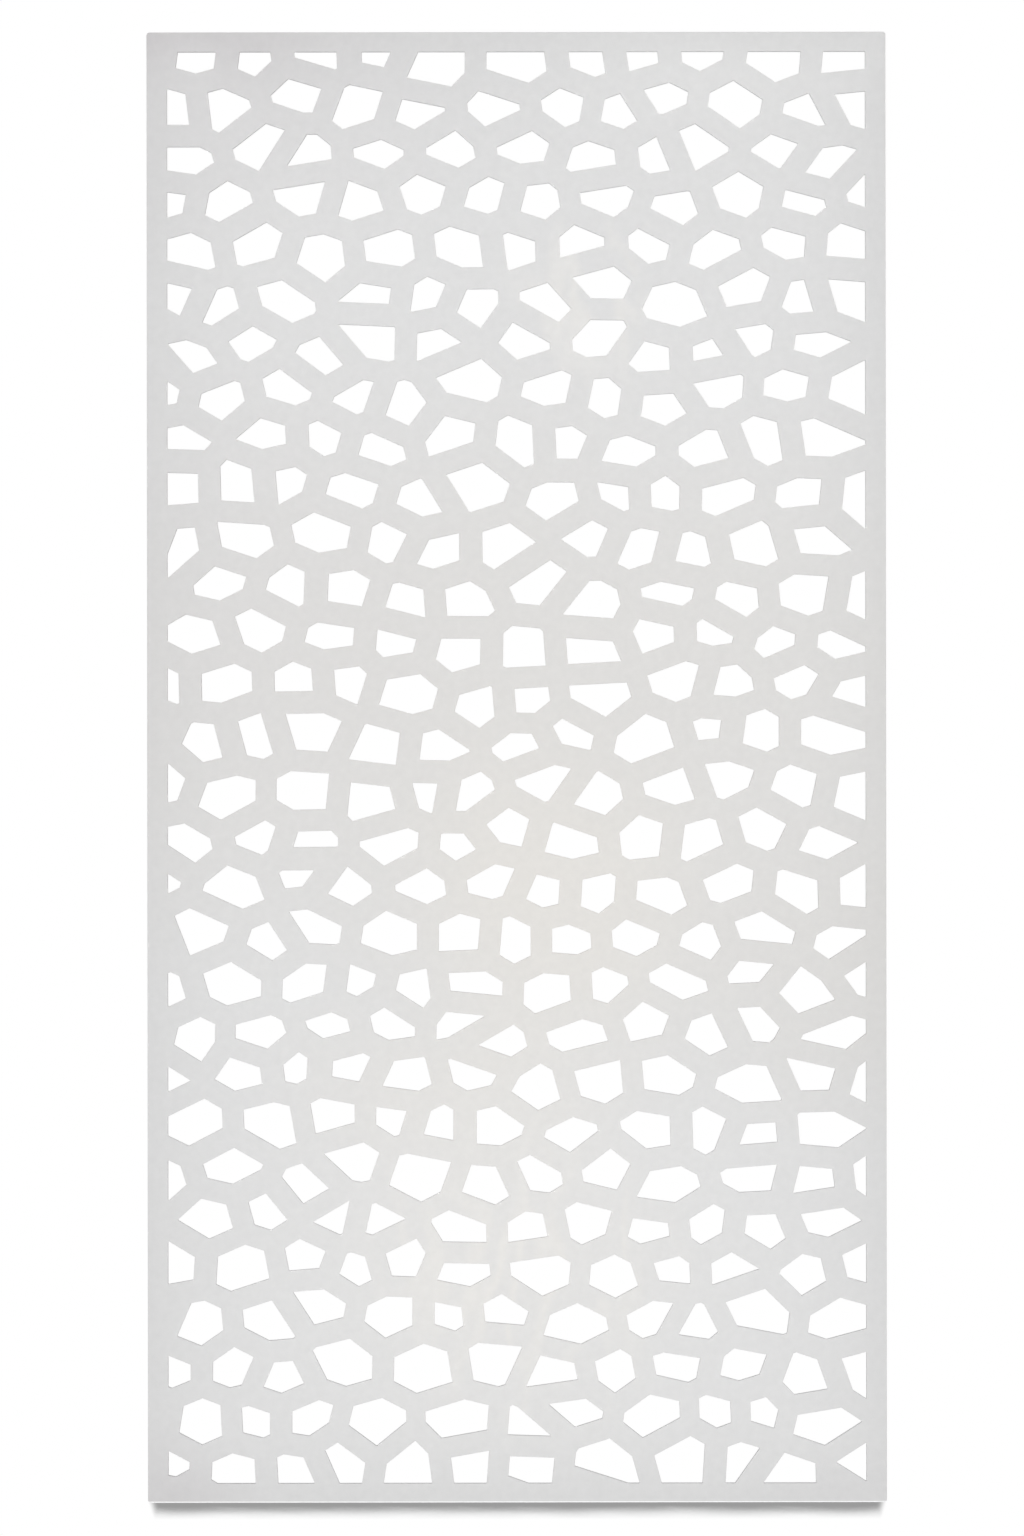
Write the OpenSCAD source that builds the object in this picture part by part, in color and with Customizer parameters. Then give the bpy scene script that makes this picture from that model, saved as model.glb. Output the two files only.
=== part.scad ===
// Room divider panel: one moulded sheet, pierced by rows of angular openings.
// The openings leave a net of ribs, nearly all of one width, inside a plain border.
// The sheet hangs in the XZ plane with its front towards -Y, and the origin is the
// middle of its top edge. Lengths are in millimetres.

/* [Sheet] */
// Width of the sheet
sheet_w = 1000; // [800:10:1300]
// Height of the sheet
sheet_h = 1990; // [1600:10:2500]
// Thickness of the sheet
sheet_t = 5; // [3:0.5:12]
// Radius of the four outer corners
corner_r = 4; // [1:0.5:15]

/* [Border] */
// Width of the plain border down each side
side_border = 27.5; // [20:0.5:50]
// Depth of the plain border along the top
top_border = 26.5; // [20:0.5:50]
// Depth of the plain border along the bottom
bottom_border = 26; // [20:0.5:50]

/* [Net] */
// Usual width of a rib
rib_w = 29; // [22:0.5:34]
// Area below which an opening is left closed
least_opening = 60; // [20:10:200]

/* [Hidden] */

// The layout of the net, drawn on a sheet of layout_size with the borders of
// layout_field and ribs of layout_rib. It is stretched over the real sheet.
layout_size = [1000, 1990];
layout_field = [[27.5, 26.5], [972.5, 1964]];
layout_rib = 29;
// How much longer the net is drawn out across than down
stretch = 1.25;
// Distance within which another opening can share a rib with this one
reach = 190;
// How often the seeds are moved until each opening lies where the layout says
passes = 6;

// Centre of each opening, in rows from the top, each from left to right:
// [distance from the left edge, distance below the top edge]. Where the ribs round an
// opening are wider than the others, a third number says by how much its sides lie
// further in, and where they are narrower it is less than 0.
rows = [
    [[67, 39], [145, 40, 3], [233, 35], [311, 35, 5], [394, 47], [503, 44, 0.5], [597, 41, 3],
     [670, 37], [751, 36, 3], [851, 43], [942, 41, 1]],
    [[41, 103, 1], [107, 102], [203, 86, 1], [285, 100, -1.5], [365, 110, 0.5],
     [467, 103, 1.5], [563, 101, -1], [638, 109, 0.5], [704, 89], [797, 97], [890, 106, 1],
     [956, 102]],
    [[55, 172], [152, 155], [222, 161, -0.5], [315, 164, 1.5], [413, 160], [512, 157, 1.5],
     [601, 169, 1], [685, 169, 2], [751, 154], [851, 160, 1.5], [924, 174]],
    [[38, 232], [109, 229, 1.5], [208, 224], [288, 230, 1], [373, 219, 0.5], [458, 222, 1.5],
     [533, 229], [625, 227], [716, 237], [802, 221, 1], [888, 232], [964, 219, 1.5]],
    [[60, 296, -1], [149, 288, 1.5], [238, 303], [329, 293], [423, 291, 0.5], [503, 295, 3],
     [585, 283, 1], [679, 290, 2.5], [767, 294], [863, 286, 1], [947, 285]],
    [[40, 359, 1.5], [102, 370, 1], [188, 364, 1], [299, 355, 1.5], [379, 355], [448, 370],
     [541, 365], [619, 341], [714, 369], [809, 347], [882, 361], [950, 360, 2]],
    [[63, 437], [142, 421], [233, 438, 1], [306, 417], [389, 420, 1], [509, 420, 1.5],
     [610, 413], [683, 442, 1.5], [757, 432, 1.5], [826, 415, 2], [909, 422]],
    [[34, 489], [102, 497, 1], [188, 482], [281, 494, 1], [350, 502], [441, 473, 0.5],
     [543, 483, 1], [620, 495, 1], [697, 509, 1.5], [777, 485, -1], [866, 479],
     [951, 482, 1.5]],
    [[52, 551, 1.5], [159, 545, 1], [239, 549, 1.5], [318, 565], [410, 546, 1.5], [500, 552],
     [571, 555, 2], [652, 568], [753, 565, 2], [835, 552, 1], [920, 551, 1.5]],
    [[47, 617, 1.5], [122, 609], [192, 610, 3], [278, 620, -0.5], [367, 632, 2], [449, 615],
     [549, 632, 1], [633, 627], [702, 626, 1.5], [785, 628], [883, 625], [958, 631, 2.5]],
    [[48, 699, 2], [133, 685], [236, 678], [323, 690, -0.5], [397, 703, 1.5], [483, 694, 1],
     [595, 685, 1.5], [667, 699], [739, 701, 2], [822, 694, 1], [911, 689, 1]],
    [[98, 746, -1], [191, 748, 2], [271, 752, 1.5], [352, 768], [434, 770, 0.5], [528, 747, 1],
     [607, 771, 2], [706, 760], [800, 766, 1.5], [889, 761, -1], [962, 764, 3.5]],
    [[62, 815, 1], [152, 809, 0.5], [247, 817], [334, 828, 2.5], [422, 841, 1], [510, 833, 1],
     [600, 838], [685, 816, 1], [764, 815, 1], [850, 825, 1.5], [935, 830, 0.5]],
    [[35, 885, 2], [106, 881], [199, 875, 1.5], [273, 881], [355, 896, -1], [446, 912, 2],
     [520, 903, -1], [614, 899], [715, 879], [792, 880], [879, 880], [954, 893, 2]],
    [[76, 960, 1], [146, 954, 2.5], [224, 945], [311, 966, 1], [396, 968, 1], [498, 966],
     [576, 952, 1], [672, 958, 1], [759, 943, 4], [831, 946], [926, 953, 1]],
    [[35, 1017, 2], [110, 1033, -1.5], [210, 1026, 0.5], [300, 1040, 0.5], [377, 1033, 1.5],
     [441, 1027, 0.5], [537, 1015], [613, 1032, 1.5], [708, 1023], [787, 1010],
     [877, 1020, 0.5], [954, 1033, 1.5]],
    [[55, 1096, 1.5], [149, 1090, 2], [228, 1093], [330, 1101], [418, 1101, 1],
     [490, 1077, 1.5], [573, 1097, 1.5], [669, 1092], [748, 1092, 0.5], [832, 1079, 0.5],
     [917, 1098, 1]],
    [[34, 1151, 2], [118, 1158, -0.5], [200, 1144, 2.5], [275, 1158, 2], [373, 1157, 1],
     [464, 1150], [538, 1164, 1.5], [610, 1165], [696, 1168, 0.5], [788, 1153, 2],
     [880, 1162, 1], [957, 1159]],
    [[72, 1216], [160, 1231, 1.5], [230, 1212], [329, 1221, -0.5], [422, 1220, 1], [498, 1229],
     [572, 1229], [659, 1226], [750, 1230, 0.5], [834, 1215, -1], [935, 1230, 1]],
    [[35, 1296, 2], [115, 1288, 0.5], [212, 1286, -1], [287, 1284, 3], [362, 1292, -1],
     [444, 1288], [541, 1299], [622, 1290, 1], [718, 1286, -1], [814, 1273, 1.5],
     [889, 1299, -0.5], [962, 1281]],
    [[65, 1361], [154, 1353, -1.5], [245, 1344, 1.5], [329, 1344], [416, 1342],
     [485, 1367, 0.5], [582, 1358], [673, 1341, -0.5], [756, 1358, 2], [828, 1343, 3],
     [935, 1357]],
    [[37, 1416], [125, 1411, -0.5], [200, 1403, 3], [275, 1401, 2.5], [353, 1412], [437, 1412],
     [527, 1429, -1], [614, 1421], [703, 1413], [813, 1425], [899, 1411, -0.5], [965, 1423]],
    [[65, 1476, 1], [167, 1478, -1], [249, 1465], [329, 1472], [396, 1477, 2.5], [473, 1482],
     [573, 1491, 1], [677, 1485, 1.5], [757, 1486], [828, 1492], [919, 1486, 1]],
    [[35, 1552, -0.5], [114, 1535, 1], [211, 1557], [281, 1528], [368, 1548, -2], [457, 1560],
     [531, 1547], [621, 1541, -1], [706, 1560], [815, 1551, 1.5], [901, 1553, -0.5],
     [966, 1548]],
    [[82, 1606, -1], [160, 1598, 1.5], [253, 1607, -1], [316, 1607, 2.5], [422, 1619],
     [513, 1618], [594, 1611, 1], [677, 1623], [757, 1614], [835, 1622, 1.5], [922, 1610, 1]],
    [[43, 1668, 3], [127, 1672, -1], [211, 1656], [282, 1674, -0.5], [349, 1661, -1],
     [429, 1680], [534, 1680, -1.5], [630, 1684], [711, 1676, 0.5], [789, 1673], [888, 1681],
     [960, 1668]],
    [[72, 1747, -1.5], [162, 1746, 1], [234, 1724], [328, 1737], [407, 1739, 1], [482, 1732],
     [580, 1750], [678, 1742, -1.5], [745, 1749, -1], [829, 1733, -1], [935, 1742]],
    [[40, 1813, 1.5], [114, 1808, -0.5], [183, 1820], [266, 1800, 1], [372, 1808, -0.5],
     [466, 1800], [548, 1814, -2], [632, 1811, 0.5], [716, 1806, -1], [804, 1804, 3],
     [888, 1819, 1], [961, 1815, 1.5]],
    [[73, 1880, -2], [146, 1881, 1.5], [221, 1876, -0.5], [310, 1879, -1.5], [420, 1878, -1.5],
     [509, 1885, 1], [582, 1867], [683, 1872, -0.5], [767, 1867, -2], [834, 1869],
     [915, 1885, -2]],
    [[38, 1939, 1.5], [117, 1946], [196, 1946, 1.5], [268, 1938], [354, 1941],
     [436, 1942, 0.5], [521, 1944, -1], [621, 1935], [723, 1935], [800, 1933, 2], [872, 1948],
     [960, 1937]]
];
marks = [for (row = rows) each row];
centres = [for (mark = marks) [mark.x, mark.y]];
insets = [for (mark = marks) len(mark) > 2 ? mark.z : 0];

// Slanted sides beside the border, where the next opening is hidden under it, as the
// two ends of each side. A side belongs to the opening whose centre is nearest.
edge_ribs = [
    [[42, 27], [39, 50]], [[27.5, 374], [46, 384]], [[27.5, 421], [61, 459]],
    [[41, 671], [27.5, 706]], [[62, 746], [64, 760]], [[27.5, 802], [50, 789]],
    [[27.5, 904], [43, 910]], [[59, 935], [46, 964]], [[36, 1195], [57, 1249]],
    [[27.5, 1273], [43, 1269]], [[42, 1344], [36, 1368]], [[60, 1717], [39, 1766]],
    [[27.5, 1833], [33, 1835]], [[48, 1859], [42, 1896]], [[39, 1954], [54, 1946]],
    [[27.5, 1953], [39, 1955]], [[82, 1957], [94, 1964]], [[490, 1955], [515, 1964]],
    [[578, 1941], [650, 1964]], [[936, 1939], [972.5, 1962]]
];
edge_owners = [for (ends = edge_ribs)
               let (gaps = [for (centre = centres) norm(centre - (ends[0] + ends[1]) / 2)])
               search(min(gaps), gaps)[0]];

// The sheet's outline and the field that the net fills, from the top edge down
field = [[side_border, top_border], [sheet_w - side_border, sheet_h - bottom_border]];
spread = [sheet_w / layout_size.x, sheet_h / layout_size.y];

function total(list) = list * [for (item = list) 1];
function corners(box) = [box[0], [box[1].x, box[0].y], box[1], [box[0].x, box[1].y]];

// What is left of an outline on the near side of a line, which passes through
// the point on_line at right angles to away
function trim(outline, on_line, away) = [
    for (i = [0 : len(outline) - 1])
    let (p = outline[i], q = outline[(i + 1) % len(outline)],
         p_off = (p - on_line) * away, q_off = (q - on_line) * away)
    each concat(p_off <= 0 ? [p] : [],
                p_off * q_off < 0 ? [p + (q - p) * p_off / (p_off - q_off)] : [])
];

// Direction in which a rib between two seeds faces, seen in the stretched net
function across_rib(seed, other) =
    let (away = [(other.x - seed.x) / (stretch * stretch), other.y - seed.y])
    away / norm(away);

// A point of the layout on a sheet that is as much wider and longer as zoom says
function placed(point, zoom) = [point.x * zoom.x, point.y * zoom.y];

// An outline trimmed along each side that edge_ribs gives for opening number n
function edged(outline, n, rib, zoom, i = 0) =
    i == len(edge_ribs) || len(outline) < 3 ? outline
    : edge_owners[i] != n ? edged(outline, n, rib, zoom, i + 1)
    : let (start = placed(edge_ribs[i][0], zoom), end = placed(edge_ribs[i][1], zoom),
           on_line = (start + end) / 2, along = (end - start) / norm(end - start),
           out = [along.y, -along.x],
           away = (on_line - placed(centres[n], zoom)) * out < 0 ? -out : out)
      edged(trim(outline, on_line - away * (rib - layout_rib) / 2, away),
            n, rib, zoom, i + 1);

// One opening: its field, trimmed half a rib short of the line midway to each neighbour
function opening(outline, seed, others, half_rib, i = 0) =
    i == len(others) || len(outline) < 3 ? outline
    : let (away = across_rib(seed, others[i]))
      opening(trim(outline, (seed + others[i]) / 2 - away * half_rib, away),
              seed, others, half_rib, i + 1);

function openings(seeds, box, rib, near, zoom) = [
    for (n = [0 : len(seeds) - 1])
    let (seed = seeds[n])
    opening(edged(corners(box), n, rib, zoom), seed,
            [for (other = seeds) if (other != seed && norm(other - seed) < near) other],
            rib / 2 + insets[n])
];

// Twice the signed area beneath each side of an outline, its area and its centre
function slices(outline) = [
    for (i = [0 : len(outline) - 1])
    let (p = outline[i], q = outline[(i + 1) % len(outline)]) p.x * q.y - q.x * p.y
];
function area(outline) = len(outline) < 3 ? 0 : abs(total(slices(outline))) / 2;
function middle(outline) =
    let (slice = slices(outline), last = len(outline) - 1)
    [for (i = [0 : last]) slice[i]]
    * [for (i = [0 : last]) outline[i] + outline[(i + 1) % len(outline)]]
    / (3 * total(slice));

// Seeds whose openings have the layout's centres: each is moved by what its own is off
function settled(seeds, times) =
    times == 0 ? seeds
    : let (cells = openings(seeds, layout_field, layout_rib, reach, [1, 1]))
      settled([for (i = [0 : len(seeds) - 1])
               area(cells[i]) == 0 ? seeds[i] : seeds[i] + centres[i] - middle(cells[i])],
              times - 1);

seeds = [for (seed = settled(centres, passes)) placed(seed, spread)];
net = [for (cell = openings(seeds, field, rib_w, reach * max(spread), spread))
       if (area(cell) >= least_opening) cell];

module outer_outline() {
    $fn = 48;
    for (x = [corner_r, sheet_w - corner_r], y = [corner_r, sheet_h - corner_r])
        translate([x, y]) circle(r = corner_r);
    translate([corner_r, 0]) square([sheet_w - 2 * corner_r, sheet_h]);
    translate([0, corner_r]) square([sheet_w, sheet_h - 2 * corner_r]);
}

module panel() {
    color([0.85, 0.85, 0.84])
    translate([-sheet_w / 2, -sheet_t / 2, 0])
    rotate([-90, 0, 0])
    linear_extrude(height = sheet_t)
    difference() {
        outer_outline();
        for (cell = net) polygon(cell);
    }
}

panel();
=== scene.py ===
# %% [markdown]
# # A pierced screen panel
# This lesson dresses one moulded sheet: a tall screen whose angular openings leave a net of
# even ribs. The construction model already fixes every size and the place of every opening,
# so nothing is measured here a second time. What is left to do is what a moulder adds
# without drawing it: softened rims, small corner radii, and a satin surface on which the
# melt has left its marks.

# %% Load the construction model
import math

import bmesh
import bpy
from mathutils import Matrix, Vector


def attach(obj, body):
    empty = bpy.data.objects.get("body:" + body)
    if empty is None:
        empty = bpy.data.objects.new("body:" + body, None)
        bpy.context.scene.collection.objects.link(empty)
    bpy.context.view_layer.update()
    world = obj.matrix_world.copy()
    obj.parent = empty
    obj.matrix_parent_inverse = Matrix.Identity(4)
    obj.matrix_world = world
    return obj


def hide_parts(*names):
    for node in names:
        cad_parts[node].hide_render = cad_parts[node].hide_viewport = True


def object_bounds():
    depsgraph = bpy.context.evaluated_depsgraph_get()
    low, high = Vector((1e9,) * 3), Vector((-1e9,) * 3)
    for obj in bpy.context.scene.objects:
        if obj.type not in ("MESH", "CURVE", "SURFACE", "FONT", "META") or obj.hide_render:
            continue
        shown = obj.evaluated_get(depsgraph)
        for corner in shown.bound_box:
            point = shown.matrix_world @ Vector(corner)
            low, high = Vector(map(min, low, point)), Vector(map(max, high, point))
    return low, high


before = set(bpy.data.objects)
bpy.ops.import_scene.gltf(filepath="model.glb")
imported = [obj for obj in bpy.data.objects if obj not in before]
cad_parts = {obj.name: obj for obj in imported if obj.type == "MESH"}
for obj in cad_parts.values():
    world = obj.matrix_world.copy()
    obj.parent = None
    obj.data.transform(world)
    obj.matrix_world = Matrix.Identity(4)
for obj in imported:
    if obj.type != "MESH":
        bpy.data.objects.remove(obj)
cad_low, cad_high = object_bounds()
size = cad_high - cad_low
middle = (cad_low + cad_high) / 2
quarter_turn = math.radians(90)
print("sheet, in metres:", [round(length, 4) for length in size])

# %% [markdown]
# ## The camera
# The photograph looks at the sheet square on, from the middle of its height. The box that
# the sheet fills in the picture gives the scale, and the scale and a distance give the
# lens. The distance shows in the openings: near the top and bottom of the sheet each one
# shows a wall about one pixel wide, which is what a wall of this depth shows from four
# metres. The picture also leans by a few hundredths of a degree, so the camera is rolled.

# %% Camera
picture_width, picture_height = 1024, 1536  # pixels
sheet_left, sheet_right = 147.25, 886.2  # pixels, halfway down the sheet
sheet_top, sheet_bottom = 32.0, 1502.6  # pixels, halfway across
camera_distance = 4.0  # metres in front of the sheet
camera_roll = math.radians(-0.064)

metres_per_pixel = size.z / (sheet_bottom - sheet_top)
aim = middle + metres_per_pixel * Vector((
    (picture_width - sheet_left - sheet_right) / 2,
    0,
    (sheet_top + sheet_bottom - picture_height) / 2,
))
camera_data = bpy.data.cameras.new("camera")
camera_data.sensor_width = 36
camera_data.lens = camera_data.sensor_width * camera_distance / (picture_height * metres_per_pixel)
camera = bpy.data.objects.new("camera", camera_data)
bpy.context.scene.collection.objects.link(camera)
camera.matrix_world = (
    Matrix.Translation((aim.x, cad_low.y - camera_distance, aim.z))
    @ Matrix.Rotation(quarter_turn, 4, "X")
    @ Matrix.Rotation(camera_roll, 4, "Z")
)
bpy.context.scene.camera = camera
print("lens", round(camera_data.lens, 1), "mm, scale", round(metres_per_pixel * 1000, 4), "mm to a pixel")

# %% [markdown]
# ## Helpers for node trees
# Every tree below is made of the same acts: declare what goes in and out, add a node with
# its options, feed its sockets. Small helpers for these keep a tree readable as a recipe.
# A socket may be named or counted, because some nodes carry the same name more than once.


# %% Tree helpers
def new_tree(name, kind, takes, gives):
    """A node group with its sockets declared, and the sockets that bring its inputs."""
    tree = bpy.data.node_groups.new(name, kind)
    for direction, sockets in (("INPUT", takes), ("OUTPUT", gives)):
        for label, (socket, default) in sockets.items():
            made = tree.interface.new_socket(label, in_out=direction, socket_type="NodeSocket" + socket)
            if default is not None:
                made.default_value = default
    return tree, tree.nodes.new("NodeGroupInput").outputs


def place(tree, kind, inputs=None, **options):
    """Add a node, set its options, and give each listed input a socket or a value."""
    node = tree.nodes.new(kind)
    for option, value in options.items():
        setattr(node, option, value)
    for key, source in (inputs or {}).items():
        if isinstance(source, bpy.types.NodeSocket):
            tree.links.new(source, node.inputs[key])
        else:
            node.inputs[key].default_value = source
    return node


def number(tree, operation, *values):
    """One step of arithmetic on numbers."""
    return place(tree, "ShaderNodeMath", dict(enumerate(values)), operation=operation).outputs[0]


def vector(tree, operation, *values):
    """One step of arithmetic on vectors."""
    node = place(tree, "ShaderNodeVectorMath", dict(enumerate(values)), operation=operation)
    return node.outputs["Value" if operation in ("DOT_PRODUCT", "LENGTH") else "Vector"]


def height(tree, source):
    """The Z part of a vector."""
    return place(tree, "ShaderNodeSeparateXYZ", {0: source}).outputs["Z"]


print("helpers ready: new_tree, place, number, vector, height")

# %% [markdown]
# ## Finding the outlines
# A moulded sheet has no sharp arris: each of its hundreds of openings has a little radius
# at its corners and another at both faces. A Bevel modifier would have to guess its way
# round the long thin triangles of an imported mesh. Sweeping one rim profile along every
# outline is surer, and it needs the outlines as curves. Two trees find them. The small one
# takes the edges that have a face on one side only, above or below the middle plane. The
# other lays the sheet flat, keeps its front, asks the small one for its edges, and rounds
# their corners.
#
# A sweep turns its profile over when an outline runs the other way round. The tree tells
# which way each one runs from whether its left-hand side looks away from its own centre,
# and reverses those that would put their lips in the air. The longest outline is the
# sheet's own edge, whose material lies inside it, so there the rule is the opposite.

# %% Tree: open edges as curves
count_slack = 0.1  # two counts nearer than this are the same


def open_edges_tree():
    tree, given = new_tree("open_edges", "GeometryNodeTree", {
        "Mesh": ("Geometry", None), "Above": ("Float", 1.0),
    }, {"Curves": ("Geometry", None)})
    faces = place(tree, "GeometryNodeInputMeshEdgeNeighbors").outputs[0]
    spot = place(tree, "GeometryNodeInputPosition").outputs[0]
    rise = number(tree, "MULTIPLY", height(tree, spot), given["Above"])
    on_this_side = number(tree, "GREATER_THAN", rise, 0.0)
    is_open = number(tree, "COMPARE", faces, 1.0, count_slack)
    wanted = number(tree, "MULTIPLY", is_open, on_this_side)
    curves = place(tree, "GeometryNodeMeshToCurve", {"Mesh": given["Mesh"], "Selection": wanted}).outputs[0]
    place(tree, "NodeGroupOutput", {"Curves": curves})
    return tree


open_edges = open_edges_tree()
print("tree", open_edges.name, "with", len(open_edges.nodes), "nodes")

# %% Tree: the sheet's outlines, rounded and turned the right way
looks_up = 0.5  # laid flat, the front's normals rise by 1, the walls' by 0 and the back's by -1


def sheet_outlines_tree():
    tree, given = new_tree("sheet_outlines", "GeometryNodeTree", {
        "Sheet": ("Geometry", None), "Corner radius": ("Float", 0.0008),
        "Corner steps": ("Int", 2), "Longest opening": ("Float", 1.0),
    }, {"Outlines": ("Geometry", None)})
    flat = place(tree, "GeometryNodeTransform",
                 {"Geometry": given["Sheet"], "Rotation": (-quarter_turn, 0, 0)}).outputs[0]
    facing = height(tree, place(tree, "GeometryNodeInputNormal").outputs[0])
    not_front = number(tree, "LESS_THAN", facing, looks_up)
    front = place(tree, "GeometryNodeDeleteGeometry",
                  {"Geometry": flat, "Selection": not_front}, domain="FACE").outputs[0]
    curves = place(tree, "GeometryNodeGroup", {"Mesh": front}, node_tree=open_edges).outputs[0]
    curves = place(tree, "GeometryNodeFilletCurve", {
        "Curve": curves, "Count": given["Corner steps"], "Radius": given["Corner radius"],
        "Limit Radius": True}, mode="POLY").outputs[0]

    # Which way round does each outline run?
    spot = place(tree, "GeometryNodeInputPosition").outputs[0]
    spline = place(tree, "GeometryNodeSplineLength").outputs
    owner = place(tree, "GeometryNodeCurveOfPoint").outputs["Curve Index"]
    total = place(tree, "GeometryNodeAccumulateField", {0: spot, "Group ID": owner},
                  data_type="FLOAT_VECTOR").outputs["Total"]
    count = place(tree, "ShaderNodeCombineXYZ", dict.fromkeys(range(3), spline["Point Count"])).outputs[0]
    from_centre = vector(tree, "SUBTRACT", spot, vector(tree, "DIVIDE", total, count))
    left_hand = vector(tree, "CROSS_PRODUCT", (0, 0, 1), place(tree, "GeometryNodeInputTangent").outputs[0])
    outward = place(tree, "GeometryNodeFieldOnDomain",
                    {0: vector(tree, "DOT_PRODUCT", left_hand, from_centre)}).outputs[0]
    clockwise = number(tree, "GREATER_THAN", outward, 0.0)
    is_edge = number(tree, "GREATER_THAN", spline["Length"], given["Longest opening"])
    wrong_way = number(tree, "ABSOLUTE", number(tree, "SUBTRACT", clockwise, is_edge))
    curves = place(tree, "GeometryNodeReverseCurve", {"Curve": curves, "Selection": wrong_way}).outputs[0]
    curves = place(tree, "GeometryNodeSetCurveNormal", {"Curve": curves}, mode="Z_UP").outputs[0]
    place(tree, "NodeGroupOutput", {"Outlines": curves})
    return tree


sheet_outlines = sheet_outlines_tree()
print("tree", sheet_outlines.name, "with", len(sheet_outlines.nodes), "nodes")

# %% [markdown]
# ## The profile of a rim
# Cut across, a rim is a straight wall with a lip that rolls into each face. Four points
# are enough for that, a flat-bottomed U lying on its side, because the Fillet Curve node
# rounds the two bends. The points come from their own index: the outer two reach into the
# material by the lip's radius, and the sign of the distance from the middle of the line
# tells front from back.

# %% Tree: the rim's profile
profile_points = 4


def rim_profile_tree():
    tree, given = new_tree("rim_profile", "GeometryNodeTree", {
        "Thickness": ("Float", 0.005), "Lip radius": ("Float", 0.0008), "Lip steps": ("Int", 2),
    }, {"Profile": ("Geometry", None)})
    index = place(tree, "GeometryNodeInputIndex").outputs[0]
    from_middle = number(tree, "SUBTRACT", (profile_points - 1) / 2, index)
    is_end = number(tree, "GREATER_THAN", number(tree, "ABSOLUTE", from_middle), 1.0)
    half = number(tree, "MULTIPLY", given["Thickness"], 0.5)
    spot = place(tree, "ShaderNodeCombineXYZ", {
        "X": number(tree, "MULTIPLY", is_end, given["Lip radius"]),
        "Y": number(tree, "MULTIPLY", number(tree, "SIGN", from_middle), half)}).outputs[0]
    line = place(tree, "GeometryNodeMeshLine", {"Count": profile_points}).outputs[0]
    line = place(tree, "GeometryNodeSetPosition", {"Geometry": line, "Position": spot}).outputs[0]
    line = place(tree, "GeometryNodeMeshToCurve", {"Mesh": line}).outputs[0]
    line = place(tree, "GeometryNodeFilletCurve", {
        "Curve": line, "Count": given["Lip steps"], "Radius": given["Lip radius"],
        "Limit Radius": True}, mode="POLY").outputs[0]
    place(tree, "NodeGroupOutput", {"Profile": line})
    return tree


rim_profile = rim_profile_tree()
print("tree", rim_profile.name, "with", len(rim_profile.nodes), "nodes")

# %% [markdown]
# ## The whole sheet
# The main tree sweeps the profile along the outlines, which makes every wall and lip at
# once. The open edges of those rims then bound the two skins: Fill Curve makes the outer
# loop minus the inner ones. Merging by distance closes the solid. At the end the walls
# and lips get a finish of their own, chosen by which way a face looks, because in the
# photograph the insides of the openings look matter and a little paler than the front; the
# paleness is painted light.

# %% Tree: the pierced sheet
weld_reach = 0.000005  # metres within which points of rims and skins are one
skin_turn = 0.99  # cosine of how far a face may turn from the front and still be skin


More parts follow.
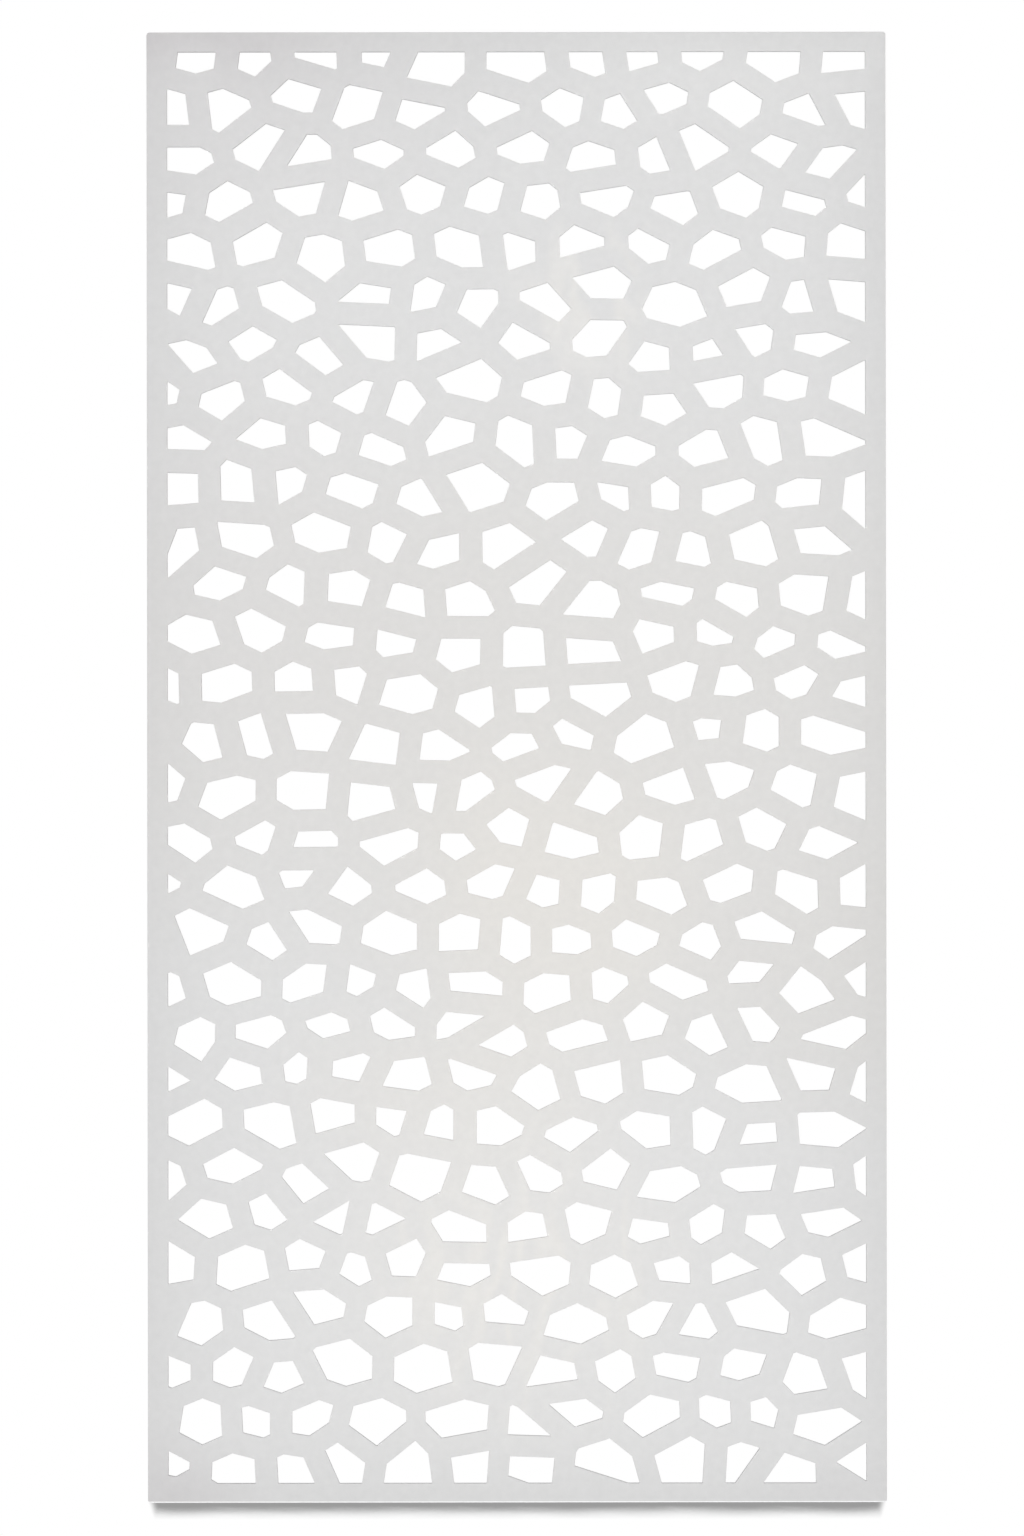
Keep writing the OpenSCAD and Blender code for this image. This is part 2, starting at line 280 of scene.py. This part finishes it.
def pierced_sheet_tree():
    tree, given = new_tree("pierced_sheet", "GeometryNodeTree", {
        "Sheet": ("Geometry", None), "Thickness": ("Float", 0.005),
        "Corner radius": ("Float", 0.0008), "Corner steps": ("Int", 2),
        "Lip radius": ("Float", 0.0008), "Lip steps": ("Int", 2),
        "Longest opening": ("Float", 1.0),
        "Face finish": ("Material", None), "Wall finish": ("Material", None),
    }, {"Sheet": ("Geometry", None)})
    half = number(tree, "MULTIPLY", given["Thickness"], 0.5)
    to_middle = place(tree, "ShaderNodeCombineXYZ", {"Z": number(tree, "MULTIPLY", half, -1.0)}).outputs[0]
    outlines = place(tree, "GeometryNodeGroup", {
        key: given[key] for key in ("Sheet", "Corner radius", "Corner steps", "Longest opening")
    }, node_tree=sheet_outlines).outputs[0]
    outlines = place(tree, "GeometryNodeSetPosition", {"Geometry": outlines, "Offset": to_middle}).outputs[0]
    profile = place(tree, "GeometryNodeGroup", {
        key: given[key] for key in ("Thickness", "Lip radius", "Lip steps")
    }, node_tree=rim_profile).outputs[0]
    rims = place(tree, "GeometryNodeCurveToMesh", {"Curve": outlines, "Profile Curve": profile}).outputs[0]
    rims = place(tree, "GeometryNodeMergeByDistance", {"Geometry": rims, "Distance": weld_reach}).outputs[0]

    joined = place(tree, "GeometryNodeJoinGeometry", {0: rims})
    for side in (1.0, -1.0):
        loops = place(tree, "GeometryNodeGroup",
                      {"Mesh": rims, "Above": side}, node_tree=open_edges).outputs[0]
        skin = place(tree, "GeometryNodeFillCurve", {"Curve": loops}, mode="TRIANGLES").outputs[0]
        lift = place(tree, "ShaderNodeCombineXYZ", {"Z": number(tree, "MULTIPLY", half, side)}).outputs[0]
        skin = place(tree, "GeometryNodeSetPosition", {"Geometry": skin, "Offset": lift}).outputs[0]
        if side < 0:
            skin = place(tree, "GeometryNodeFlipFaces", {"Mesh": skin}).outputs[0]
        tree.links.new(skin, joined.inputs[0])
    solid = place(tree, "GeometryNodeMergeByDistance",
                  {"Geometry": joined.outputs[0], "Distance": weld_reach}).outputs[0]
    solid = place(tree, "GeometryNodeTransform",
                  {"Geometry": solid, "Rotation": (quarter_turn, 0, 0)}).outputs[0]

    away = vector(tree, "DOT_PRODUCT", place(tree, "GeometryNodeInputNormal").outputs[0], (0, 1, 0))
    is_wall = number(tree, "LESS_THAN", number(tree, "ABSOLUTE", away), skin_turn)
    solid = place(tree, "GeometryNodeSetShadeSmooth", {"Geometry": solid, "Shade Smooth": True}).outputs[0]
    solid = place(tree, "GeometryNodeRealizeInstances", {"Geometry": solid}).outputs[0]
    solid = place(tree, "GeometryNodeSetMaterial",
                  {"Geometry": solid, "Material": given["Face finish"]}).outputs[0]
    solid = place(tree, "GeometryNodeSetMaterial",
                  {"Geometry": solid, "Material": given["Wall finish"], "Selection": is_wall}).outputs[0]
    place(tree, "NodeGroupOutput", {"Sheet": solid})
    return tree


pierced_sheet = pierced_sheet_tree()
print("tree", pierced_sheet.name, "with", len(pierced_sheet.nodes), "nodes")

# %% [markdown]
# ## Marks of the melt
# A large light-coloured moulding is never one flat tone. Hot plastic enters near the
# middle and is a little warmer in colour there, and where streams meet in the ribs they
# leave pale wavering lines. Both marks are soft-edged and local, so both start from one
# group: a patch with a centre and a reach that fades to nothing at its rim. Its edge is
# pushed about by noise, because a perfect ellipse would look like a lamp.


# %% Group: a soft patch
def soft_patch_group():
    tree, given = new_tree("soft_patch", "ShaderNodeTree", {
        "Vector": ("Vector", None), "Centre": ("Vector", (0, 0, 0)),
        "Reach": ("Vector", (1, 1, 1)), "Waver": ("Float", 0.15),
    }, {"Mask": ("Float", None)})
    noise = place(tree, "ShaderNodeTexNoise", {
        "Vector": given["Vector"], "Scale": 5.0, "Detail": 3.0}).outputs["Color"]
    either_way = vector(tree, "SUBTRACT", noise, (0.5, 0.5, 0.5))
    push = place(tree, "ShaderNodeVectorMath",
                 {0: either_way, "Scale": given["Waver"]}, operation="SCALE").outputs[0]
    spot = vector(tree, "ADD", given["Vector"], push)
    away = vector(tree, "DIVIDE", vector(tree, "SUBTRACT", spot, given["Centre"]), given["Reach"])
    mask = place(tree, "ShaderNodeMapRange", {
        "Value": vector(tree, "LENGTH", away), "From Min": 1.0, "From Max": 0.0,
    }, interpolation_type="SMOOTHERSTEP").outputs[0]
    place(tree, "NodeGroupOutput", {"Mask": mask})
    return tree


soft_patch = soft_patch_group()
print("group", soft_patch.name, "with", len(soft_patch.nodes), "nodes")

# %% [markdown]
# The first mark is a change of colour inside a patch, and the group takes the colour that
# comes in and lays its tint over it, so several can follow one another. The same group also
# lays the patches of painted light and painted shade. The second mark is a set of veins. A
# noise field that is stretched along the height of the sheet has long level lines, and a thin
# band on either side of one level makes a wavering streak.

# %% Groups: tint and flow lines
vein_squeeze = (1.0, 1.0, 0.4)  # less than 1 up the sheet, so the veins run long that way


def melt_and_painted_light_tint_group():
    tree, given = new_tree("melt_and_painted_light_tint", "ShaderNodeTree", {
        "Color": ("Color", None), "Tint": ("Color", None), "Amount": ("Float", 0.5),
        "Vector": ("Vector", None), "Centre": ("Vector", (0, 0, 0)), "Reach": ("Vector", (1, 1, 1)),
    }, {"Color": ("Color", None)})
    mask = place(tree, "ShaderNodeGroup", {key: given[key] for key in ("Vector", "Centre", "Reach")},
                 node_tree=soft_patch).outputs[0]
    mixed = place(tree, "ShaderNodeMix", {
        0: number(tree, "MULTIPLY", mask, given["Amount"]), 6: given["Color"], 7: given["Tint"],
    }, data_type="RGBA").outputs[2]
    place(tree, "NodeGroupOutput", {"Color": mixed})
    return tree


def flow_lines_group():
    tree, given = new_tree("flow_lines", "ShaderNodeTree", {
        "Vector": ("Vector", None), "Centre": ("Vector", (0, 0, 0)), "Reach": ("Vector", (1, 1, 1)),
        "Fineness": ("Float", 13.0), "Width": ("Float", 0.09), "Seed": ("Float", 0.0),
    }, {"Mask": ("Float", None)})
    stretched = vector(tree, "MULTIPLY", given["Vector"], vein_squeeze)
    noise = place(tree, "ShaderNodeTexNoise", {
        "Vector": stretched, "W": given["Seed"], "Scale": given["Fineness"],
        "Detail": 1.0, "Distortion": 0.6}, noise_dimensions="4D").outputs[0]
    off_line = number(tree, "ABSOLUTE", number(tree, "SUBTRACT", noise, 0.5))
    line = place(tree, "ShaderNodeMapRange", {
        "Value": off_line, "From Min": given["Width"], "From Max": 0.0,
    }, interpolation_type="SMOOTHSTEP").outputs[0]
    patch = place(tree, "ShaderNodeGroup", {key: given[key] for key in ("Vector", "Centre", "Reach")},
                  node_tree=soft_patch).outputs[0]
    place(tree, "NodeGroupOutput", {"Mask": number(tree, "MULTIPLY", line, patch)})
    return tree


melt_and_painted_light_tint, flow_lines = melt_and_painted_light_tint_group(), flow_lines_group()
print("groups", melt_and_painted_light_tint.name, "and", flow_lines.name)

# %% [markdown]
# ## Mottle, edge tone, grain and the painted highlight at the foot
# Three more effects cover the whole sheet. The mottle is the cloudiness of filled plastic,
# in spots of one to two centimetres. The edge tone darkens the outermost band a little.
# The grain is the fine spark-eroded texture of the mould, which gives the satin sheen, and
# it goes into the bump only, because it has no colour of its own. A fourth effect is local:
# along the foot a pale line about two millimetres high is painted, a painted highlight for
# the light that the lower rim catches from the floor.

# %% Groups: mottle, edge tone, satin grain and the painted highlight at the foot
edge_falloff = 3.0  # power by which the edge tone fades inwards
swell_share = 2.0  # how deep the slow swell of the grain is beside the fine one
full_foot_highlight = 0.6  # share of the painted highlight's height up to which it is at full strength


def mottle_group():
    tree, given = new_tree("mottle", "ShaderNodeTree", {
        "Color": ("Color", None), "Vector": ("Vector", None),
        "Scale": ("Float", 85.0), "Strength": ("Float", 0.10),
    }, {"Color": ("Color", None), "Cloud": ("Float", None)})
    cloud = place(tree, "ShaderNodeTexNoise", {
        "Vector": given["Vector"], "Scale": given["Scale"], "Detail": 2.0, "Roughness": 0.6}).outputs[0]
    lift = number(tree, "MULTIPLY", number(tree, "SUBTRACT", cloud, 0.5), given["Strength"])
    gain = place(tree, "ShaderNodeCombineXYZ",
                 dict.fromkeys(range(3), number(tree, "ADD", lift, 1.0))).outputs[0]
    tinted = vector(tree, "MULTIPLY", given["Color"], gain)
    place(tree, "NodeGroupOutput", {"Color": tinted, "Cloud": cloud})
    return tree


# Darkens the outermost band of the sheet a little, more towards its rim.
def edge_tone_group():
    tree, given = new_tree("edge_tone", "ShaderNodeTree", {
        "Color": ("Color", None), "Vector": ("Vector", None), "Half size": ("Vector", (0.5, 1, 1)),
        "Band": ("Float", 0.25), "Strength": ("Float", 0.075),
    }, {"Color": ("Color", None)})
    parts = place(tree, "ShaderNodeSeparateXYZ", {
        0: vector(tree, "SUBTRACT", given["Half size"], vector(tree, "ABSOLUTE", given["Vector"]))}).outputs
    nearest = number(tree, "MINIMUM", parts["X"], parts["Z"])
    depth = place(tree, "ShaderNodeMapRange", {
        "Value": nearest, "From Min": given["Band"], "From Max": 0.0}).outputs[0]
    darker = number(tree, "MULTIPLY", number(tree, "POWER", depth, edge_falloff), given["Strength"])
    gain = place(tree, "ShaderNodeCombineXYZ",
                 dict.fromkeys(range(3), number(tree, "SUBTRACT", 1.0, darker))).outputs[0]
    place(tree, "NodeGroupOutput", {"Color": vector(tree, "MULTIPLY", given["Color"], gain)})
    return tree


def satin_grain_group():
    tree, given = new_tree("satin_grain", "ShaderNodeTree", {
        "Vector": ("Vector", None), "Grain": ("Float", 1500.0), "Swell": ("Float", 90.0),
    }, {"Height": ("Float", None)})
    fine = place(tree, "ShaderNodeTexNoise", {
        "Vector": given["Vector"], "Scale": given["Grain"], "Detail": 1.0}).outputs[0]
    slow = place(tree, "ShaderNodeTexNoise", {
        "Vector": given["Vector"], "Scale": given["Swell"], "Detail": 0.0}).outputs[0]
    total = number(tree, "MULTIPLY_ADD", slow, swell_share, fine)
    place(tree, "NodeGroupOutput", {"Height": total})
    return tree


# Painted highlight: a pale line along the foot, for the light the lower rim catches from the floor.
def painted_foot_highlight_group():
    tree, given = new_tree("painted_foot_highlight", "ShaderNodeTree", {
        "Color": ("Color", None), "Painted highlight": ("Color", None), "Vector": ("Vector", None),
        "Floor": ("Float", 0.0), "Width": ("Float", 0.0023),
    }, {"Color": ("Color", None)})
    above = number(tree, "SUBTRACT", height(tree, given["Vector"]), given["Floor"])
    share = number(tree, "DIVIDE", above, given["Width"])
    mask = place(tree, "ShaderNodeMapRange", {
        "Value": share, "From Min": 1.0, "From Max": full_foot_highlight}).outputs[0]
    highlighted_foot = place(tree, "ShaderNodeMix", {0: mask, 6: given["Color"], 7: given["Painted highlight"]},
                    data_type="RGBA").outputs[2]
    place(tree, "NodeGroupOutput", {"Color": highlighted_foot})
    return tree


mottle, edge_tone, satin_grain = mottle_group(), edge_tone_group(), satin_grain_group()
painted_foot_highlight = painted_foot_highlight_group()
print("groups", mottle.name, edge_tone.name, satin_grain.name, painted_foot_highlight.name)

# %% [markdown]
# ## The two finishes
# Both finishes are the same off-white plastic, so one recipe builds both from the shared
# groups and each gets its own values. The walls of the openings are matter than the faces
# and a tenth paler, a paleness that is painted light on the walls.
# What is the same all over, such as the IOR, is set on the shader itself. Only what varies
# comes through nodes.
#
# The tints and lines are placed in metres on the sheet, and follow the photograph. There is
# a patch of painted light low down and a warm band across the middle, with a patch of painted
# shade on its left, a warm one on its right, and honey patches where the melt enters. Below
# them lies a pale glow. Three corners are darker with painted shade, the top left one most of
# all, and the top edge has a stretch of painted light right of its middle.

# %% Colours of the plastic, and of painted light, painted shade and a painted highlight, as linear values
plastic_pale = (0.727, 0.727, 0.727, 1)
# painted light: a paler copy of the plastic, laid where more light is painted
painted_light_pale = (0.790, 0.790, 0.787, 1)
plastic_warm = (0.706, 0.688, 0.660, 1)
plastic_honey = (0.785, 0.760, 0.716, 1)
plastic_glow = (0.800, 0.790, 0.770, 1)
plastic_streak = (0.820, 0.806, 0.780, 1)
# painted shade: a greyer copy of the plastic, laid where shade is painted
painted_shade_grey = (0.620, 0.602, 0.612, 1)
# painted highlight along the foot
painted_highlight_white = (0.950, 0.950, 0.950, 1)
tints = [  # colour, amount, centre, reach
    # painted light: the lower middle is made brighter
    (painted_light_pale, 0.3, (0.0, 0, -1.80), (0.95, 1, 0.75)),
    (plastic_warm, 0.5, (0.04, 0, -0.90), (1.20, 1, 0.60)),
    # painted shade: the left side is made darker
    (painted_shade_grey, 0.14, (-0.40, 0, -0.76), (0.46, 1, 0.52)),
    (plastic_warm, 0.4, (0.42, 0, -1.28), (0.40, 1, 0.34)),
    (plastic_honey, 0.6, (0.04, 0, -1.19), (0.34, 1, 0.38)),
    (plastic_honey, 0.4, (-0.08, 0, -1.44), (0.34, 1, 0.19)),
    (plastic_glow, 0.5, (-0.02, 0, -1.64), (0.43, 1, 0.40)),
    # painted shade: three corners are made darker, the top left one most of all
    (painted_shade_grey, 0.3, (-0.5, 0, 0.0), (0.75, 1, 0.40)),
    (painted_shade_grey, 0.7, (-0.5, 0, 0.0), (0.36, 1, 0.11)),
    (painted_shade_grey, 0.5, (-0.5, 0, -1.99), (0.18, 1, 0.13)),
    (painted_shade_grey, 0.15, (0.5, 0, -1.99), (0.30, 1, 0.08)),
    # painted light: a brighter stretch on the top edge
    (painted_light_pale, 0.5, (0.24, 0, -0.04), (0.32, 1, 0.12)),
]
streaks = [  # seed, amount, centre, reach
    (2.0, 0.6, (0.09, 0, -0.37), (0.14, 1, 0.18)),
    (7.0, 0.8, (0.00, 0, -1.68), (0.30, 1, 0.28)),
]
plastic_ior = 1.49
print(len(tints), "tints and", len(streaks), "patches of flow lines")


# %% Recipe for the plastic
def moulded_plastic(name, roughness, roughness_swing, grain_depth, gloss, painted_light_gain):
    material = bpy.data.materials.new(name)
    material.use_nodes = True
    tree = material.node_tree
    shader = tree.nodes["Principled BSDF"]
    shader.inputs["IOR"].default_value = plastic_ior
    shader.inputs["Specular IOR Level"].default_value = gloss
    where = place(tree, "ShaderNodeTexCoord").outputs["Object"]
    color = plastic_pale
    # melt tints, then patches of painted light and painted shade, all from one list
    for tint, amount, centre, reach in tints:
        color = place(tree, "ShaderNodeGroup", {
            "Color": color, "Tint": tint, "Amount": amount,
            "Vector": where, "Centre": centre, "Reach": reach}, node_tree=melt_and_painted_light_tint).outputs[0]
    for seed, amount, centre, reach in streaks:
        line = place(tree, "ShaderNodeGroup", {
            "Seed": seed, "Vector": where, "Centre": centre, "Reach": reach},
            node_tree=flow_lines).outputs[0]
        color = place(tree, "ShaderNodeMix", {
            0: number(tree, "MULTIPLY", line, amount), 6: color, 7: plastic_streak},
            data_type="RGBA").outputs[2]
    centred = place(tree, "ShaderNodeMapping", {"Vector": where, "Location": -middle}).outputs[0]
    color = place(tree, "ShaderNodeGroup", {
        "Color": color, "Vector": centred, "Half size": size / 2}, node_tree=edge_tone).outputs[0]
    # painted highlight: a pale line along the foot
    color = place(tree, "ShaderNodeGroup", {
        "Color": color, "Painted highlight": painted_highlight_white, "Vector": where, "Floor": cad_low.z},
        node_tree=painted_foot_highlight).outputs[0]
    # painted light: a gain above one makes this finish paler, as on the walls
    color = vector(tree, "MULTIPLY", color, (painted_light_gain, painted_light_gain, painted_light_gain))
    clouded = place(tree, "ShaderNodeGroup", {"Color": color, "Vector": where}, node_tree=mottle).outputs
    tree.links.new(clouded["Color"], shader.inputs["Base Color"])
    smoothest = roughness - roughness_swing / 2
    rough = number(tree, "MULTIPLY_ADD", clouded["Cloud"], roughness_swing, smoothest)
    tree.links.new(rough, shader.inputs["Roughness"])
    grain = place(tree, "ShaderNodeGroup", {"Vector": where}, node_tree=satin_grain).outputs[0]
    bump = place(tree, "ShaderNodeBump", {"Height": grain, "Distance": grain_depth}).outputs[0]
    tree.links.new(bump, shader.inputs["Normal"])
    return material


moulded_face = moulded_plastic("moulded_face", 0.60, 0.08, 0.00003, gloss=0.5, painted_light_gain=1.0)
# the wall finish carries painted light: it is a tenth paler
moulded_wall = moulded_plastic("moulded_wall", 0.90, 0.06, 0.00002, gloss=0.1, painted_light_gain=1.1)
print("finishes", moulded_face.name, "and", moulded_wall.name)

# %% [markdown]
# ## Making the piece
# The construction mesh comes as loose triangles, so a copy has its doubles merged first.
# The modifier's inputs are set by identifier before anything is evaluated. A Weighted
# Normal modifier follows the tree: it lets the large flat faces keep their own direction
# and leaves all the turning to the narrow lips, which is how a rounded arris should shade.
# The result then becomes a plain mesh, standing where the construction model stands.

# %% Dimensions that the drawing leaves out
chosen = {
    "Thickness": size.y,
    "Corner radius": 0.0008,
    "Corner steps": 2,
    "Lip radius": 0.0008,
    "Lip steps": 2,
    "Longest opening": size.x,
    "Face finish": moulded_face,
    "Wall finish": moulded_wall,
}
loose_reach = 0.00001  # metres within which points of the imported triangles are one
flat_face_weight = 90  # how far large faces outweigh the lips in their shading
print("corner radius", chosen["Corner radius"] * 1000, "mm, lip radius", chosen["Lip radius"] * 1000, "mm")

# %% Dress the sheet
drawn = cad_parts["panel"].data.copy()
drawn.materials.clear()
shell = bmesh.new()
shell.from_mesh(drawn)
bmesh.ops.remove_doubles(shell, verts=shell.verts, dist=loose_reach)
shell.to_mesh(drawn)
shell.free()
blank = bpy.data.objects.new("blank", drawn)
bpy.context.scene.collection.objects.link(blank)

pierce = blank.modifiers.new("pierce", "NODES")
pierce.node_group = pierced_sheet
for socket in pierced_sheet.interface.items_tree:
    if socket.in_out == "INPUT" and socket.name in chosen:
        pierce[socket.identifier] = chosen[socket.name]
blank.modifiers.new("even_shading", "WEIGHTED_NORMAL").weight = flat_face_weight
finished = bpy.data.meshes.new_from_object(blank.evaluated_get(bpy.context.evaluated_depsgraph_get()))
bpy.data.objects.remove(blank)
while finished.materials[0] is None:
    finished.materials.pop(index=0)

sheet = bpy.data.objects.new("pierced_sheet", finished)
bpy.context.scene.collection.objects.link(sheet)
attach(sheet, "root")
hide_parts("panel")

# %% Measure it
shell = bmesh.new()
shell.from_mesh(finished)
print("triangles", sum(len(face.verts) - 2 for face in shell.faces),
      "edges left open", sum(len(edge.link_faces) != 2 for edge in shell.edges),
      "volume", round(shell.calc_volume(signed=True) * 1e6, 1), "cm3",
      "materials", [material.name for material in finished.materials])
shell.free()

# %% [markdown]
# ## Floor, backdrop and light
# The photograph was lit from all round, mostly from the front, on white. Rays that look at
# the backdrop see plain white, while the light that falls on the sheet is set apart from
# that, so the white never burns into the plastic. The floor does the same, and keeps the
# shadow that gathers where the sheet meets it. That shadow is a measure of how much sky the
# floor sees within a hand's breadth, and it fades out at both ends of the sheet, as the
# photograph's does.

# %% What the eye sees and what lights the sheet
ambient = 0.365  # light from all round
front_share, back_share = 0.57, 0.50  # light from the two soft boxes, at the sheet
shadow_reach = 0.09  # metres from the sheet's foot
shut_sky, clear_sky = 0.74, 0.98  # shares of open sky at which the shadow is full and gone
shadow_falloff = 1.6  # power by which it fades between the two
shadow_tone = 0.33  # how light the shadow is at its darkest
fade_inside, fade_outside = 0.015, 0.001  # metres either side of the sheet's ends: it fades there
fade_slant = 0.2  # metres sooner that it fades for each metre away from the sheet
floor_pale = (0.8, 0.8, 0.8, 1)
floor_reach = 15.0  # metres to each side


def seen_directly(tree):
    """One for rays that look at, reflect or look through to a surface, else zero."""
    ray = place(tree, "ShaderNodeLightPath").outputs
    return number(tree, "MAXIMUM", ray["Is Camera Ray"],
                  number(tree, "MAXIMUM", ray["Is Glossy Ray"], ray["Is Transmission Ray"]))


world = bpy.data.worlds.new("studio")
world.use_nodes = True
bpy.context.scene.world = world
backdrop = world.node_tree.nodes["Background"]
backdrop.inputs["Color"].default_value = (1, 1, 1, 1)
world.node_tree.links.new(
    number(world.node_tree, "MULTIPLY_ADD", seen_directly(world.node_tree), 1 - ambient, ambient),
    backdrop.inputs["Strength"])
print("backdrop white, ambient", ambient)

# %% Floor
floor_material = bpy.data.materials.new("pale_floor")
floor_material.use_nodes = True
tree = floor_material.node_tree
tree.nodes.clear()
open_sky = place(tree, "ShaderNodeAmbientOcclusion", {"Distance": shadow_reach}).outputs["AO"]
clear = place(tree, "ShaderNodeMapRange", {
    "Value": open_sky, "From Min": shut_sky, "From Max": clear_sky}).outputs[0]
spot = vector(tree, "ABSOLUTE", place(tree, "ShaderNodeTexCoord").outputs["Object"])
spot = place(tree, "ShaderNodeSeparateXYZ", {0: spot}).outputs
along = number(tree, "MULTIPLY_ADD", spot["Y"], fade_slant, spot["X"])
beyond = place(tree, "ShaderNodeMapRange", {
    "Value": along, "From Min": size.x / 2 - fade_inside, "From Max": size.x / 2 + fade_outside,
}, interpolation_type="SMOOTHSTEP").outputs[0]
clear = number(tree, "POWER", number(tree, "MAXIMUM", clear, beyond), shadow_falloff)
shade = number(tree, "MULTIPLY_ADD", clear, 1 - shadow_tone, shadow_tone)
white = place(tree, "ShaderNodeEmission", {"Color": shade}).outputs[0]
pale = place(tree, "ShaderNodeBsdfDiffuse", {"Color": floor_pale}).outputs[0]
mixed = place(tree, "ShaderNodeMixShader", {0: seen_directly(tree), 1: pale, 2: white}).outputs[0]
place(tree, "ShaderNodeOutputMaterial", {"Surface": mixed})

floor_mesh = bpy.data.meshes.new("floor")
floor_mesh.from_pydata(
    [(x * floor_reach, y * floor_reach, cad_low.z) for x, y in ((-1, -1), (1, -1), (1, 1), (-1, 1))],
    [], [(0, 1, 2, 3)])
floor_mesh.materials.append(floor_material)
floor = bpy.data.objects.new("floor", floor_mesh)
bpy.context.scene.collection.objects.link(floor)
print("floor at", round(cad_low.z, 4))

# %% Soft boxes
def soft_box(name, share, spot, width):
    """A square lamp that gives the sheet's middle a share of plain light."""
    lamp_data = bpy.data.lights.new(name, "AREA")
    lamp_data.size = width
    way = middle - Vector(spot)
    lamp_data.energy = share * (math.pi * way.length) ** 2
    lamp = bpy.data.objects.new(name, lamp_data)
    lamp.matrix_world = Matrix.Translation(spot) @ way.to_track_quat("-Z", "Y").to_matrix().to_4x4()
    lamp.visible_camera = False
    bpy.context.scene.collection.objects.link(lamp)
    print(name, round(lamp_data.energy), "W")


soft_box("front_box", front_share, spot=(0.2, -9.0, -1.3), width=1.2)
soft_box("back_box", back_share, spot=(-0.4, 5.0, -0.4), width=2.4)

# %% [markdown]
# ## Finish
# The view transform is Standard, so a colour comes out about as it is written.

# %% Finish
bpy.context.scene.view_settings.view_transform = "Standard"
